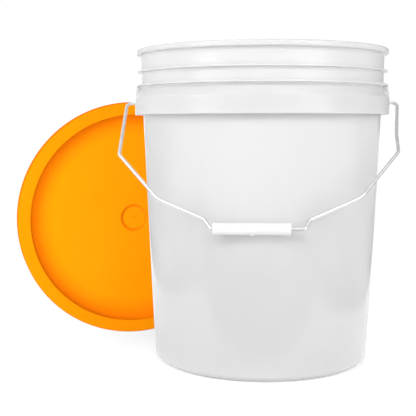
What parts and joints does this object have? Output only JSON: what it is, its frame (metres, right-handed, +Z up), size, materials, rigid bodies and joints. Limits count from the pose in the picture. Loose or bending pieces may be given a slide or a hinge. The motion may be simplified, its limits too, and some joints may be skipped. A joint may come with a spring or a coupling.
{
  "type": "fermenting bucket",
  "caption": "Round tapered white plastic bucket with ribbed neck and deep skirt band, wire bail with tube grip, and a loose recessed orange lid with gasket standing beside it.",
  "frame": {"origin": "centre of the bucket's foot, on the surface it stands on", "axes": "+Z up along the bucket's axis; the handle's pivot axis is parallel to X; the handle hangs towards -Y, the front; the lid stands behind and to the left, at -X +Y"},
  "size_m": [0.4804, 0.3165, 0.368],
  "materials": {
    "natural_white_plastic": "natural white polyethylene, satin-gloss, slightly translucent",
    "galvanised_wire": "bright galvanised drawn wire",
    "white_grip_plastic": "smooth white polyethylene",
    "orange_plastic": "orange-yellow pigmented polyethylene, satin",
    "grey_rubber": "matte sealing ring"
  },
  "bodies": {
    "pail": {"pail": "natural_white_plastic"},
    "bail": {"bail_wire": "galvanised_wire"},
    "grip": {"grip": "white_grip_plastic"},
    "lid": {"lid": "orange_plastic", "lid_gasket": "grey_rubber"}
  },
  "joints": [
    {"name": "bail_pivot", "type": "hinge", "parent": "pail", "child": "bail", "pos_m": [0, 0, 0.3062], "axis": [-1, 0, 0], "range_deg": [0, 205]},
    {"name": "grip_spin", "type": "hinge", "parent": "bail", "child": "grip", "pos_m": [-0.0092, -0.14337, 0.17124], "axis": [1, 0, 0], "continuous": true},
    {"name": "lid_lift", "type": "hinge", "parent": "pail", "child": "lid", "pos_m": [-0.04701, 0.21332, 0.31395], "axis": [-0.7499, -0.5939, 0.2913], "range_deg": [-262.48, 0]}
  ]
}
